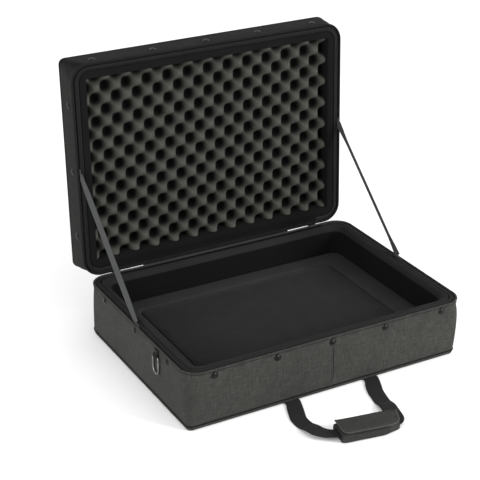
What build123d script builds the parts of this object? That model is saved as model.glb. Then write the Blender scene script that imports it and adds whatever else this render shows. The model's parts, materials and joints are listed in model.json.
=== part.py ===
"""Soft-sided case for a guitar pedal board, standing open.

Millimetres. +X is to the right, +Y to the back (the hinge side), +Z up. The origin is the centre of
the underside. The lid is built lying on its back in its own frame, with its rim facing up, and is
then set on the hinge and swung open until its stays are taut.
"""
from math import cos, pi, radians, sin, sqrt, tan
import os

from build123d import *

# ---------------------------------------------------------------- driving dimensions
# Case
case_w = 660.0              # outside width
case_d = 482.0              # outside depth
base_h = 127.0              # floor to the top of the base's rim piping
lid_h = 73.0                # depth of the lid, rim piping to its flat outside
corner_r = 40.0             # plan radius of the outside corners
edge_r = 5.0                # radius along the bottom edge of the base and the outside edge of the lid
shell_t = 6.0               # covered shell, walls and floor
panel_t = 3.0               # reinforced panel under the base
panel_inset = 12.0          # how far the panel stays inside the outline

# Hinge and opening
open_angle = 91.8           # lid angle from closed to taut stays
hinge_out = 2.0             # hinge line behind the back face
hinge_drop = 8.0            # hinge line below the base's rim
rim_gap = 4.0               # closed gap between the two rims, filled by the zip

# Rim
piping_h = 5.0              # height of the rim piping
piping_proud = 1.5          # how far piping stands out of the wall
piping_w = 4.7              # width of the rim piping across the wall
tape_inset = 6.2            # outer edge of the zip tape, from the outside of the wall
tape_w = 8.6                # width of one half of the zip tape
tape_t = 1.2
coil_w = 2.2                # zip coil on the tape's inner edge
coil_h = 1.7
zip_end_inset = 75.0        # middle of the zip's closed end, in from the side
edge_piping_h = 4.0         # thinner piping along the bottom edge and the lid's outside edge
bead_bevel = 0.29           # share of a bead's height that its bevelled edges take
edge_bevel = 0.6            # the same for the thinner piping, as a share of how far it is proud
rod_sides = 8               # sides of the sections of rods and cords

# Foam lining of the base
wall_t = 32.0               # shell and lining together
crown_inset = 16.5          # where the lining's crowned top band starts
crown_r = 15.0              # rounding of the crown towards the inside
shelf_drop = 3.0            # the shelf under the zip tape, below the rim
inner_corner_r = 26.0       # plan radius of the inside corners
ledge_h = 61.0              # floor ledge above the ground
board_ledge_x = 54.0        # width of the ledge at each side of the board
board_ledge_y = 44.0        # width of the ledge behind and in front of the board
ledge_bevel = 5.0           # soft inner edge of the ledge
fit = 0.3                   # running gap between soft pieces

# Pedal board
board_t = 10.0
loop_t = 2.0                # loop fabric on the board
board_drop = 4.0            # board surface below the ledge
board_clear = 2.0           # gap round the board in its recess
board_corner_r = 12.0

# Foam of the lid
border_w = 28.0             # flat border inside the lid's shell
border_drop = 2.0           # border below the rim
foam_drop = 12.0            # foam peaks below the rim
foam_relief = 28.0          # peaks to the bottoms of the pits
foam_columns = 12           # pits in one row
foam_rows = 16              # rows of pits, each half a pitch out of step with the next

# Caps
cap_r = 7.5
cap_h = 3.0
cap_drop = 14.0             # cap centres below the base's rim
back_cap_drop = 24.0        # the same at the back, below the hinge's bend
lid_cap_drop = 29.0         # cap centres behind the lid's rim
cap_sides = 12
front_cap_pitch = 129.0     # the two caps beside the middle one
front_cap_inset = 59.0      # the outer caps, in from the sides
side_cap_inset = 91.0       # the outer caps on the sides, in from front and back

# Front seam
seam_r = 1.5
seam_turn_r = 20.0          # the seam turns into the bottom seam with this radius
seam_below_cap = 4.0

# Shoulder-strap rings
ring_rod_r = 2.0
ring_w = 28.0               # outside width
ring_h = 43.0               # outside height
ring_corner_r = 3.4
ring_steps = 12             # straight steps that make up the ring's round end
ring_inset = 133.0          # ring centre, back from the front
ring_bar_drop = 20.0        # ring's straight bar below the rim
ring_tab_w = 16.0
loop_sides = 12             # sides of the tab's loop round the ring
ring_tab_drop = 5.5         # top of the tab below the rim
web_t = 1.6                 # webbing of the ring tabs

# Stays
stay_w = 28.0               # sewn width along the rim
stay_t = 1.2
stay_inset = 4.1            # outside of the wall to the outside of the stay
stay_rise = 2.0             # how far the sewn ends stand above the rim

# Hinge strip
strip_w = 376.0
strip_t = 1.2
strip_leaf = 36.0           # height of each sewn leaf below its own rim
zip_end_w = 20.0
zip_end_leaf = 17.0
strip_step = 3.0            # the hinge strip steps over the lid's piping within this length

# Zip sliders and pulls
slider_l = 13.0
slider_w = 7.0
slider_h = 5.0
pull_l = 27.0
pull_w = 7.0
pull_t = 1.8
bow_r = 2.9                 # the slider's bow, outside radius
bow_t = 1.2
bow_sides = 12
slider_bevel = 0.3          # share of the slider's width that its bevelled corners take
pull_drop = 0.3             # the pull's pin rests this much below the middle of the bow

# Carry handle
handle_pitch = 190.0        # between the two legs where they are sewn
handle_w = 34.0             # webbing width
handle_t = 2.4
handle_floor = 0.6          # webbing above the ground
handle_root = 4.0           # hinge line of the webbing, in front of the case
anchor_l = 30.0             # sewn length under the case
anchor_notch = 1.0          # play round the anchor in the bottom panel
root_gap = 0.9              # between the sewn end and the free webbing
grip_x = -12.0              # centre of the grip as the handle lies
grip_out = 168.0            # the same, in front of the case
grip_turn = -9.6            # the grip lies askew by this angle
grip_l = 130.0
grip_w = 50.0
grip_t = 19.5
grip_floor = 0.5
grip_r = 8.0
grip_fold = 12.0            # the sleeve stops this far short of the flap at the folded end
flap_t = 3.0
flap_corner_r = 14.0
patch_l = 92.0
patch_w = 28.0
patch_t = 0.9
patch_gap = 0.2

# ---------------------------------------------------------------- worked out from the above
half_w = case_w / 2
half_d = case_d / 2
zip_end_x = half_w - zip_end_inset
ring_y = ring_inset - half_d
grip_y = -half_d - grip_out
rim_z = base_h - piping_h                   # top of the base's shell
shelf_z = base_h - shelf_drop               # shelf under the zip tape
shell_floor = panel_t + shell_t             # inside floor of the shell
recess_w = case_w - 2 * (wall_t + board_ledge_x)
recess_d = case_d - 2 * (wall_t + board_ledge_y)
board_z = ledge_h - board_drop - loop_t - board_t
foam_w = case_w - 2 * (shell_t + border_w)
foam_d = case_d - 2 * (shell_t + border_w)
foam_back = shell_t - lid_h
cap_z = base_h - cap_drop
ring_out = web_t + ring_rod_r + 0.7         # ring bar's centre from the wall
ring_z = base_h - ring_bar_drop
handle_z = handle_floor + handle_t / 2
root_y = -half_d - handle_root
hinge_axis = Axis((0, half_d + hinge_out, base_h - hinge_drop), (1, 0, 0))
lid_closed = Plane(origin=(0, half_d, base_h + rim_gap), x_dir=(1, 0, 0), z_dir=(0, 0, -1))


# ---------------------------------------------------------------- helpers
def outline(inset, least=3.0):
    """The case's plan outline, moved inwards by inset."""
    radius = max(corner_r - inset, least)
    return RectangleRounded(case_w - 2 * inset, case_d - 2 * inset, radius)


def band(outer, inner, low, high, least=3.0):
    """A closed band that follows the wall, between two insets and two heights."""
    section = outline(outer, least) - outline(inner, least)
    return extrude(Pos(0, 0, low) * section, high - low)


def bead_band(proud, width, low, high):
    """Piping: a band with every long edge bevelled."""
    bead = band(-proud, width - proud, low, high)
    level = bead.edges().group_by(Axis.Z)
    return chamfer(level[0] + level[-1], bead_bevel * min(width, high - low))


def edge_bead(height, low):
    """Thin piping that lies against the outside of the wall."""
    plate = extrude(Pos(0, 0, low) * outline(-piping_proud), height)
    level = plate.edges().group_by(Axis.Z)
    plate = chamfer(level[0] + level[-1], edge_bevel * piping_proud)
    return plate - extrude(Pos(0, 0, low) * outline(0), height)


def loop_at(part, inset, z):
    """The edges of a part that run round the case at an inset and a height."""
    def lies_there(edge):
        spot = edge @ 0
        gap = min(half_w - abs(spot.X), half_d - abs(spot.Y)) - inset
        return abs(gap) < 0.01 and abs(spot.Z - z) < 0.01 and abs((edge @ 1).Z - z) < 0.01

    return [edge for edge in part.edges() if lies_there(edge)]


def eased(part, inset, z, radius, inwards, down):
    """Rounds the edge at an inset and a height with three bevels that touch an arc of the radius.

    inwards and down are 1 or -1: which way the material lies from the edge."""
    first = radius * (2 - sqrt(2))
    second = radius * (1 - tan(pi / 16)) - first
    part = chamfer(loop_at(part, inset, z), first)
    new_edges = loop_at(part, inset + inwards * first, z) + loop_at(part, inset, z - down * first)
    return chamfer(new_edges, second)


def strip_face(points, radii, width):
    """Plan of a strip of even width along a bent line, with its own bend radii."""
    spots = [Vector(*p) for p in points]
    ways = [(b - a).normalized() for a, b in zip(spots, spots[1:])]
    sides = [Vector(-way.Y, way.X) for way in ways]

    def edge(side):
        half = side * width / 2
        line = [spots[0] + sides[0] * half]
        bends = []
        for spot, radius, before, after, way in zip(spots[1:], radii, sides, sides[1:], ways):
            line.append(spot + (before + after) * (half / (1 + before.dot(after))))
            turn = 1 if way.dot(after) < 0 else -1
            bends.append(radius - turn * half)
        line.append(spots[-1] + sides[-1] * half)
        return FilletPolyline(*line, radius=bends) if bends else Polyline(*line)

    left, right = edge(1), edge(-1)
    ends = [Line(left @ 0, right @ 0), Line(left @ 1, right @ 1)]
    return make_face(left.edges() + right.edges() + ends)


def lid_frame(part):
    """From the lid's own frame, rim up and hinge edge at y = 0, to its place on the open case."""
    return (lid_closed.location * part).rotate(hinge_axis, -open_angle)


def centred_on_lid(part):
    """Moves a piece built on the case outline so that the hinge edge lies at y = 0."""
    return Pos(0, half_d, 0) * part


def tray(height, floor_t):
    """A covered tray with rounded outside edges: floor at z = 0, open at the top."""
    solid = eased(extrude(outline(0), height), 0, 0, edge_r, 1, -1)
    hollow = extrude(Pos(0, 0, floor_t) * outline(shell_t), height)
    return solid - hollow


def cap():
    """Domed rivet cap, seated at z = 0."""
    disc = extrude(RegularPolygon(cap_r, cap_sides), cap_h)
    return chamfer(disc.edges().group_by(Axis.Z)[-1], 0.6 * cap_h, 0.4 * cap_r)


def caps_at(places, normal):
    """Caps as a group of separate solids at the given places, all facing along normal."""
    return Compound([Plane(origin=place, z_dir=normal).location * cap() for place in places])


def front_cap_xs():
    far = half_w - front_cap_inset
    return (-far, -front_cap_pitch, 0, front_cap_pitch, far)


def save(name, part):
    export_step(part, os.path.join("parts", name + ".step"))


# ---------------------------------------------------------------- base
def base_shell():
    return Pos(0, 0, panel_t) * tray(rim_z - panel_t, shell_t)


def anchor_notches():
    width = handle_w + 2 * anchor_notch
    depth = anchor_l + anchor_notch
    middle = -half_d + edge_r + depth / 2 - anchor_notch
    cuts = [Pos(side * handle_pitch / 2, middle, panel_t / 2) * Box(width, depth, 2 * panel_t)
            for side in (-1, 1)]
    return cuts[0] + cuts[1]


def base_bottom_panel():
    return extrude(outline(panel_inset), panel_t) - anchor_notches()


def base_liner():
    low = band(shell_t, wall_t, shell_floor, shelf_z, inner_corner_r)
    crown = band(crown_inset, wall_t, shelf_z, base_h, inner_corner_r)
    return eased(low + crown, wall_t, base_h, crown_r, -1, 1)


def floor_pad():
    block = extrude(Pos(0, 0, shell_floor) * outline(wall_t + fit, inner_corner_r - fit),
                    ledge_h - shell_floor)
    recess = extrude(Pos(0, 0, board_z) * RectangleRounded(recess_w, recess_d, board_corner_r + board_clear),
                     case_d)
    pad = block - recess
    top = pad.edges().group_by(Axis.Z)[-1]
    inner = [e for e in top if abs(e.center().X) < recess_w / 2 + 1 and abs(e.center().Y) < recess_d / 2 + 1]
    return chamfer(inner, ledge_bevel)


def front_seam_bead():
    """The middle seam runs down the front panel and turns left into the bottom seam."""
    top = cap_z - cap_r - seam_below_cap
    low = panel_t + edge_r + edge_piping_h + seam_r
    down = Line((0, top), (0, low + seam_turn_r))
    turn = CenterArc((-seam_turn_r, low + seam_turn_r), seam_turn_r, 0, -90)
    path = Plane(origin=(0, -half_d, 0), x_dir=(1, 0, 0), z_dir=(0, -1, 0)).location * Wire([down, turn])
    section = Plane(origin=path @ 0, z_dir=path % 0) * RegularPolygon(seam_r, rod_sides)
    bead = sweep(section, path=path)
    return bead - Pos(0, 0, base_h / 2) * Box(case_w, case_d, base_h)


def ring_tab(side):
    """Webbing loop, sewn flat under the rim and folded round the ring's straight bar."""
    bar_x = half_w + ring_out
    loop_r = ring_rod_r + 0.4
    high = base_h - ring_tab_drop
    strap = Pos(half_w + web_t, (high + ring_z) / 2) * Rectangle(2 * web_t, high - ring_z)
    profile = strap + Pos(bar_x, ring_z) * RegularPolygon(loop_r + web_t, loop_sides)
    profile -= Pos(bar_x, ring_z) * RegularPolygon(loop_r, loop_sides, major_radius=False)
    tab = extrude(Plane(origin=(0, ring_y, 0), x_dir=(1, 0, 0), z_dir=(0, -1, 0)).location * profile,
                  ring_tab_w / 2, both=True)
    return tab if side > 0 else tab.mirror(Plane.YZ)


def d_ring(side):
    """Steel ring: straight bar at the top in the tab, round at the bottom."""
    half = ring_w / 2 - ring_rod_r
    drop = ring_h - 2 * ring_rod_r - half
    r = ring_corner_r
    top_right = [(half - r + r * sin(a), -r + r * cos(a)) for a in (pi / 2 * k / 3 for k in range(4))]
    bottom = [(half * cos(a), -drop - half * sin(a)) for a in (pi * k / ring_steps for k in range(ring_steps + 1))]
    top_left = [(-x, z) for x, z in top_right[::-1]]
    plane = Plane(origin=(side * (half_w + ring_out), ring_y, ring_z), x_dir=(0, 1, 0), z_dir=(1, 0, 0))
    path = plane.location * Polyline((0, 0), *top_right, *bottom, *top_left, close=True)
    section = Plane(origin=path @ 0, z_dir=path % 0) * RegularPolygon(ring_rod_r, rod_sides)
    return sweep(section, path=path, transition=Transition.RIGHT)


def handle_anchors():
    """Sewn webbing ends under the front edge."""
    front = root_y + (root_gap + handle_t) / 2
    back = -half_d + edge_r + anchor_l
    side_view = Pos((front + back) / 2, handle_z) * Rectangle(back - front, handle_t)
    side_view += Pos(front, handle_z) * Circle(handle_t / 2)
    leg = extrude(Plane.YZ * side_view, handle_w / 2, both=True)
    return Compound([Pos(side * handle_pitch / 2, 0, 0) * leg for side in (-1, 1)])


# ---------------------------------------------------------------- rim, shared by base and lid
def rim_piping(top):
    return bead_band(piping_proud, piping_w, top - piping_h, top)


def back_gap(low, high):
    """The stretch along the back edge where the zip is left out."""
    reach = zip_end_x + zip_end_w / 2
    return Pos(0, half_d, (low + high) / 2) * Box(2 * reach, 2 * corner_r, 4 * (high - low))


def zip_tape(low):
    return band(tape_inset, tape_inset + tape_w, low, low + tape_t) - back_gap(low, low + tape_t)


def zip_coil(low):
    outer = tape_inset + tape_w - coil_w
    return band(outer, outer + coil_w, low, low + coil_h) - back_gap(low, low + coil_h)


def stay_tab(low, high):
    """Sewn end of a stay, standing in the groove between piping and zip tape."""
    return Pos(half_w - stay_inset - stay_t / 2, 0, (low + high) / 2) * Box(stay_t, stay_w, high - low)


def both_sides(part):
    return Compound([part, part.mirror(Plane.YZ)])


# ---------------------------------------------------------------- lid, in its own frame
def lid_shell():
    return Pos(0, half_d, -lid_h) * tray(lid_h - piping_h, shell_t)


def lid_border():
    inner = Rectangle(foam_w + 2 * fit, foam_d + 2 * fit)
    low = outline(shell_t) - inner
    high = outline(crown_inset) - inner
    ring = extrude(Pos(0, 0, foam_back) * low, -shelf_drop - foam_back)
    ring += extrude(Pos(0, 0, -shelf_drop) * high, shelf_drop - border_drop)
    return centred_on_lid(ring)


def lid_foam():
    """Egg-crate foam: a chequerboard of peaks and pits, with the pits' rows ending at the foam's edges."""
    cell_x = foam_w / foam_columns / 2
    cell_y = foam_d / foam_rows
    middle = -foam_drop - foam_relief / 2
    # Rings of one peak or pit: share of the cell, share of half the relief
    rings = ((1.0, 0.0), (0.44, 1.0))

    def ring(i, j, share, rise):
        x, y = -foam_w / 2 + i * cell_x, -foam_d / 2 + j * cell_y
        up = 1 if (i + j) % 2 == 0 else -1
        z = middle + up * rise * foam_relief / 2
        corners = ((-1, -1), (1, -1), (1, 1), (-1, 1))
        return [(clip(x + a * share * cell_x / 2, foam_w / 2), clip(y + b * share * cell_y / 2, foam_d / 2), z)
                for a, b in corners]

    faces = []
    for i in range(2 * foam_columns + 1):
        for j in range(foam_rows + 1):
            loops = [ring(i, j, share, rise) for share, rise in rings]
            for lower, upper in zip(loops, loops[1:]):
                for k in range(4):
                    slope = [lower[k], lower[(k + 1) % 4], upper[(k + 1) % 4], upper[k]]
                    if not on_cut_side(slope):
                        faces.append(polygon(slope))
            faces.append(polygon(loops[-1]))
    faces += foam_sides(rings, cell_x, cell_y, middle)
    foam = Solid(Shell([face for face in faces if face]))
    return centred_on_lid(foam)


def foam_sides(rings, cell_x, cell_y, middle):
    """The foam's four cut sides, whose top line follows the peaks and pits, and its back."""
    steps = [(-share / 2, rise) for share, rise in rings] + [(share / 2, rise) for share, rise in rings[::-1]]

    def top_line(cells, size, reach, phase):
        line = []
        for i in range(cells + 1):
            up = 1 if (i + phase) % 2 == 0 else -1
            for shift, rise in steps:
                spot = (clip(-reach + (i + shift) * size, reach), middle + up * rise * foam_relief / 2)
                if not line or abs(spot[0] - line[-1][0]) > 1e-6 or abs(spot[1] - line[-1][1]) > 1e-6:
                    line.append(spot)
        return line

    half_x, half_y = foam_w / 2, foam_d / 2
    sides = []
    for side, phase in ((-1, 0), (1, 2 * foam_columns)):
        line = top_line(foam_rows, cell_y, half_y, phase)
        sides.append(polygon([(side * half_x, y, z) for y, z in line]
                             + [(side * half_x, half_y, foam_back), (side * half_x, -half_y, foam_back)]))
    for side, phase in ((-1, 0), (1, foam_rows)):
        line = top_line(2 * foam_columns, cell_x, half_x, phase)
        sides.append(polygon([(x, side * half_y, z) for x, z in line]
                             + [(half_x, side * half_y, foam_back), (-half_x, side * half_y, foam_back)]))
    sides.append(polygon([(a * half_x, b * half_y, foam_back) for a, b in ((-1, -1), (1, -1), (1, 1), (-1, 1))]))
    return sides


def on_cut_side(points):
    """True where all points lie in one of the foam's cut sides."""
    return any(all(abs(abs(p[axis]) - reach) < 1e-6 for p in points)
               for axis, reach in ((0, foam_w / 2), (1, foam_d / 2)))


def clip(value, limit):
    return max(-limit, min(limit, value))


def polygon(points):
    """A flat face through the points, or nothing where a foam cell is cut away at the foam's edge."""
    kept = [p for n, p in enumerate(points) if (Vector(p) - Vector(points[n - 1])).length > 1e-6]
    if len(kept) < 3:
        return None
    face = Face(Wire.make_polygon([Vector(p) for p in kept], close=True))
    return face if face.area > 1e-6 else None


def on_lid_rim(part):
    """The lid's half of the zip: left out along the hinge edge, which is at y = 0 in the lid's frame."""
    return centred_on_lid(part.mirror(Plane.XZ))


def lid_back_piping():
    """Thin piping where the lid's walls turn into its flat outside."""
    return centred_on_lid(edge_bead(edge_piping_h, edge_r - lid_h))


# ---------------------------------------------------------------- between base and lid
def lid_spot(u, depth):
    """A point of the open lid in the YZ plane: u along the lid from the hinge edge, depth behind its rim."""
    spot = lid_frame(Pos(0, u, -depth) * Sphere(1)).center()
    return (spot.Y, spot.Z)


def bend_z():
    """Height at which the hinge fabric leaves the back of the base."""
    return lid_spot(-piping_proud - strip_t, 0)[1] + strip_t / 2


def bridge_profile(leaf):
    """Side view of fabric sewn to the back of the base, bent out and carried under the open lid."""
    middle = half_d + strip_t / 2
    under = -piping_proud - strip_t / 2 - fit / 3
    path = [(middle, base_h - leaf), (middle, bend_z()), lid_spot(under, piping_h + strip_t),
            lid_spot(-strip_t / 2, piping_h + strip_t + strip_step), lid_spot(-strip_t / 2, leaf)]
    return strip_face(path, [strip_t, strip_step, strip_step], strip_t)


def bridge(leaf, width, middle):
    return Pos(middle, 0, 0) * extrude(Plane.YZ * bridge_profile(leaf), width / 2, both=True)


def stay():
    """Taut webbing between the sewn ends on base and lid."""
    low = base_h + stay_rise
    near = lid_spot(half_d - stay_w / 2, -stay_rise)
    far = lid_spot(half_d + stay_w / 2, -stay_rise)
    side_view = Polygon((-stay_w / 2, low), (stay_w / 2, low), near, far, align=None)
    middle = half_w - stay_inset - stay_t / 2
    return Pos(middle, 0, 0) * extrude(Plane.YZ * side_view, stay_t / 2, both=True)


def slider_place():
    """Centre of the right-hand zip slider, under the zip's closed end."""
    y = half_d + strip_t + fit + slider_w / 2
    z = bend_z() - strip_t / 2 - fit - slider_h / 2
    return Pos(zip_end_x, y, z)


def zip_slider():
    """Slider body with a bow under it that carries the pull."""
    body = Box(slider_l, slider_w, slider_h)
    body = chamfer(body.edges().filter_by(Axis.Z), slider_bevel * slider_w)
    bow = extrude(Plane.YZ * (RegularPolygon(bow_r, bow_sides) - Circle(bow_r - bow_t)), bow_t, both=True)
    return slider_place() * body + pull_pivot() * bow


def pull_pivot():
    """Centre of the slider's bow, where the pull's pin hangs."""
    return slider_place() * Pos(0, 0, bow_t - slider_h / 2 - bow_r)


def zip_pull():
    """Flat tag with a square eye, hanging from the slider's bow by its top bar."""
    top = pull_t / 2
    eye_w, eye_h = 3 * bow_t, 3 * bow_t
    tag = Pos(0, top - pull_l / 2) * Rectangle(pull_w, pull_l)
    tag = chamfer(tag.vertices(), 0.2 * pull_w)
    tag -= Pos(0, -top - eye_h / 2) * Rectangle(eye_w, eye_h)
    tag -= Pos(0, top - 0.85 * pull_l) * SlotOverall(0.6 * pull_w, 0.25 * pull_w)
    plate = extrude(Plane.XZ * tag, pull_t / 2, both=True)
    return pull_pivot() * Pos(0, 0, -pull_drop) * plate


# ---------------------------------------------------------------- carry handle
def grip_plane():
    turn = radians(grip_turn)
    return Plane(origin=(grip_x, grip_y, 0), x_dir=(cos(turn), sin(turn), 0), z_dir=(0, 0, 1))


def handle_webbing():
    """One loop of webbing: flat on the ground, rising into the grip, folded back at its right end."""
    plane = grip_plane()
    start = root_y - root_gap / 2
    half_way = (start + grip_y) / 2
    into_grip = plane.from_local_coords((-grip_l / 2 - 34, 0, 0))
    fold = plane.from_local_coords((grip_l / 2 + 13, 0, 0))
    route = [(-handle_pitch / 2, start), (-handle_pitch / 2 - 20, half_way - 8), (into_grip.X, into_grip.Y),
             (fold.X, fold.Y), (handle_pitch / 2 - 22, half_way - 10), (handle_pitch / 2, start)]
    plan = extrude(strip_face(route, [66, 44, 23, 120], handle_w), grip_t)
    middle = start - handle_t / 2
    rise = grip_y + grip_w / 2 + 56
    climb = [(middle, handle_z), (rise, handle_z), (rise - 36, slot_z()), (-case_d, slot_z())]
    side_view = strip_face(climb, [45, 45], handle_t) + Pos(middle, handle_z) * Circle(handle_t / 2)
    return plan & extrude(Plane.YZ * side_view, half_w, both=True)


def slot_z():
    """Height of the webbing in the middle of the grip."""
    return grip_floor + grip_t / 2


def grip_block(length, low, high, shift=0.0):
    section = Pos(0, (low + high) / 2) * RectangleRounded(grip_w, high - low, grip_r)
    return Pos(shift, 0, 0) * extrude(Plane.YZ * section, length / 2, both=True)


def grip_wrap():
    """Padded sleeve with a flat slot for the webbing."""
    length = grip_l - grip_fold
    sleeve = grip_block(length, grip_floor, grip_floor + grip_t, -grip_fold / 2)
    slot = Pos(0, 0, slot_z()) * Box(2 * grip_l, handle_w + 4 * fit, handle_t + 2 * fit)
    return grip_plane().location * (sleeve - slot)


def patch(low, shift=0.0):
    pad = extrude(Pos(-grip_fold / 2, shift, low) * RectangleRounded(patch_l, patch_w, 3), patch_t)
    return grip_plane().location * pad


def grip_flap():
    """Padded flap: square at the hinge edge, rounded at its free corners."""
    low = grip_floor + grip_t + 2 * patch_t + patch_gap
    plan = Rectangle(grip_l, grip_w - 2)
    plan = fillet(plan.vertices().group_by(Axis.Y)[0], flap_corner_r)
    flap = extrude(Pos(0, 0, low) * plan, flap_t)
    return grip_plane().location * chamfer(flap.edges().group_by(Axis.Z)[-1], 0.4 * flap_t)


# ---------------------------------------------------------------- pedal board
def pedal_board():
    plan = RectangleRounded(recess_w - 2 * board_clear, recess_d - 2 * board_clear, board_corner_r)
    return extrude(Pos(0, 0, board_z) * plan, board_t)


def board_loop_face():
    plan = RectangleRounded(recess_w - 2 * board_clear, recess_d - 2 * board_clear, board_corner_r)
    sheet = extrude(Pos(0, 0, board_z + board_t) * plan, loop_t)
    return chamfer(sheet.edges().group_by(Axis.Z)[-1], loop_t / 2)


# ---------------------------------------------------------------- all pieces
def build():
    os.makedirs("parts", exist_ok=True)
    y_front, y_back = -half_d, half_d
    cap_ys = (side_cap_inset - half_d, 0, half_d - side_cap_inset)

    save("base_shell", base_shell())
    save("base_bottom_panel", base_bottom_panel())
    save("base_liner", base_liner())
    save("base_floor_pad", floor_pad())
    save("base_rim_piping", rim_piping(base_h))
    save("base_bottom_piping", edge_bead(edge_piping_h, panel_t + edge_r))
    save("base_zip_tape", zip_tape(shelf_z))
    save("base_zip_coil", zip_coil(shelf_z + tape_t))
    save("front_seam_bead", front_seam_bead())
    save("base_front_caps", caps_at([(x, y_front, cap_z) for x in front_cap_xs()], (0, -1, 0)))
    sides = [caps_at([(side * half_w, y, cap_z) for y in cap_ys], (side, 0, 0)) for side in (-1, 1)]
    save("base_side_caps", Compound(sides))
    over_strip = [(x, y_back + (strip_t if abs(x) < strip_w / 2 else 0), base_h - back_cap_drop)
                  for x in front_cap_xs()]
    save("base_back_caps", caps_at(over_strip, (0, 1, 0)))
    save("base_stay_tabs", both_sides(stay_tab(rim_z, base_h + stay_rise)))
    save("handle_anchors", handle_anchors())

    save("lid_shell", lid_frame(lid_shell()))
    save("lid_border", lid_frame(lid_border()))
    save("lid_convoluted_foam", lid_frame(lid_foam()))
    save("lid_rim_piping", lid_frame(centred_on_lid(rim_piping(0))))
    save("lid_back_piping", lid_frame(lid_back_piping()))
    save("lid_zip_tape", lid_frame(on_lid_rim(zip_tape(-shelf_drop))))
    save("lid_zip_coil", lid_frame(on_lid_rim(zip_coil(-shelf_drop + tape_t))))
    save("lid_front_caps", lid_frame(caps_at([(x, case_d, -lid_cap_drop) for x in front_cap_xs()], (0, 1, 0))))
    sides = [caps_at([(side * half_w, half_d + y, -lid_cap_drop) for y in cap_ys], (side, 0, 0))
             for side in (-1, 1)]
    save("lid_side_caps", lid_frame(Compound(sides)))
    save("lid_stay_tabs", lid_frame(centred_on_lid(both_sides(stay_tab(-piping_h, stay_rise)))))

    save("hinge_strip", bridge(strip_leaf, strip_w, 0))
    save("stay_right", stay())
    save("stay_left", stay().mirror(Plane.YZ))
    for name, side in (("left", -1), ("right", 1)):
        save("zip_end_" + name, bridge(zip_end_leaf, zip_end_w, side * zip_end_x))
        turn = Plane.YZ if side < 0 else None
        save("zip_slider_" + name, zip_slider().mirror(turn) if turn else zip_slider())
        save("zip_pull_" + name, zip_pull().mirror(turn) if turn else zip_pull())
        save("ring_tab_" + name, ring_tab(side))
        save("d_ring_" + name, d_ring(side))

    save("handle_webbing", handle_webbing())
    save("grip_wrap", grip_wrap())
    save("grip_hook_patch", patch(grip_floor + grip_t))
    save("grip_loop_patch", patch(grip_floor + grip_t + patch_t + patch_gap))
    save("grip_flap", grip_flap())
    save("pedal_board", pedal_board())
    save("board_loop_face", board_loop_face())


build()
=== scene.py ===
"""Looks for the soft-sided pedal-board case: covers, linings, foam, webbing, zip and hardware."""

import json
from math import cos, dist, hypot, pi, radians, sin, tan

import bpy
from mathutils import Matrix, Vector, noise


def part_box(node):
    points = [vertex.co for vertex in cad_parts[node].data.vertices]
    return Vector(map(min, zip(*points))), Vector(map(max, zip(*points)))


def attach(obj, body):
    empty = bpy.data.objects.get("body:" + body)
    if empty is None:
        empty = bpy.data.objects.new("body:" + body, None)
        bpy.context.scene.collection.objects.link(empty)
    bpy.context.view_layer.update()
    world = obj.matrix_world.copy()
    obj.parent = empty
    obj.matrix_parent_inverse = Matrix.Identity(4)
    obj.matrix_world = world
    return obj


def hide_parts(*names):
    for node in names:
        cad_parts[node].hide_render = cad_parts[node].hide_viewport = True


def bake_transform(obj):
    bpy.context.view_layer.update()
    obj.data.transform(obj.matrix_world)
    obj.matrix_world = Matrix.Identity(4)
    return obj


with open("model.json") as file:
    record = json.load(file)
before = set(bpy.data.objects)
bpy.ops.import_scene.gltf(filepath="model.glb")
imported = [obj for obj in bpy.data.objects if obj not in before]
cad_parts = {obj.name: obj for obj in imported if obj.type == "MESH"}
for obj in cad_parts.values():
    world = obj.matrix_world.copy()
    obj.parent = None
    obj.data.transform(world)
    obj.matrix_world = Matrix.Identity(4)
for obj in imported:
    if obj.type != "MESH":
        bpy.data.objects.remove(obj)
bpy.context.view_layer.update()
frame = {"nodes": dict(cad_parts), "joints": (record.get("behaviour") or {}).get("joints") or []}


def joint(name):
    """The frame's record of a joint."""
    return next(j for j in frame["joints"] if j["name"] == name)


# ---------------- sizes, in metres, from the frame
MM = 0.001


def mm(*lengths):
    """Millimetres in metres."""
    return tuple(length * MM for length in lengths)


BASE, LID = "case_base", "lid"
SIDES = (("left", -1), ("right", 1))
shell_lo, shell_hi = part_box("base_shell")
HALF_W, HALF_D, RIM_Z = shell_hi  # RIM_Z is the top of the base's shell
PANEL_T = shell_lo[2]
BASE_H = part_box("base_rim_piping")[1][2]  # top of the base's rim piping
LEDGE_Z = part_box("base_floor_pad")[1][2]  # top of the foam floor's ledge
CORNER_R, LEAST_R = mm(40, 3)  # the case's corners in plan, and their least when a ring moves inwards
EDGE_R = 4 * MM  # rounding of a cover at its closed end
LIP_Z = 0.6 * MM  # underside of the base's bound bottom edge
BAND_H = 14 * MM  # height under a rim where a cover keeps its plain outline
WALL_T, INNER_R = mm(32, 26)  # foam wall, and its inner corners in plan
LID_H, RIM_GAP, PIPING_H = mm(73, 4, 5)
SHELF_IN, SHELF_DROP = mm(6.2, 3)  # place of the shelf under a rim's zip
FOAM_W, FOAM_D = mm(592, 414)
CAP_R, CAP_H = mm(7.5, 3)
CAP_XS, CAP_YS = mm(-271, -129, 0, 129, 271), mm(-150, 0, 150)
STRAP_W = 34 * MM  # webbing of the handle
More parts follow.
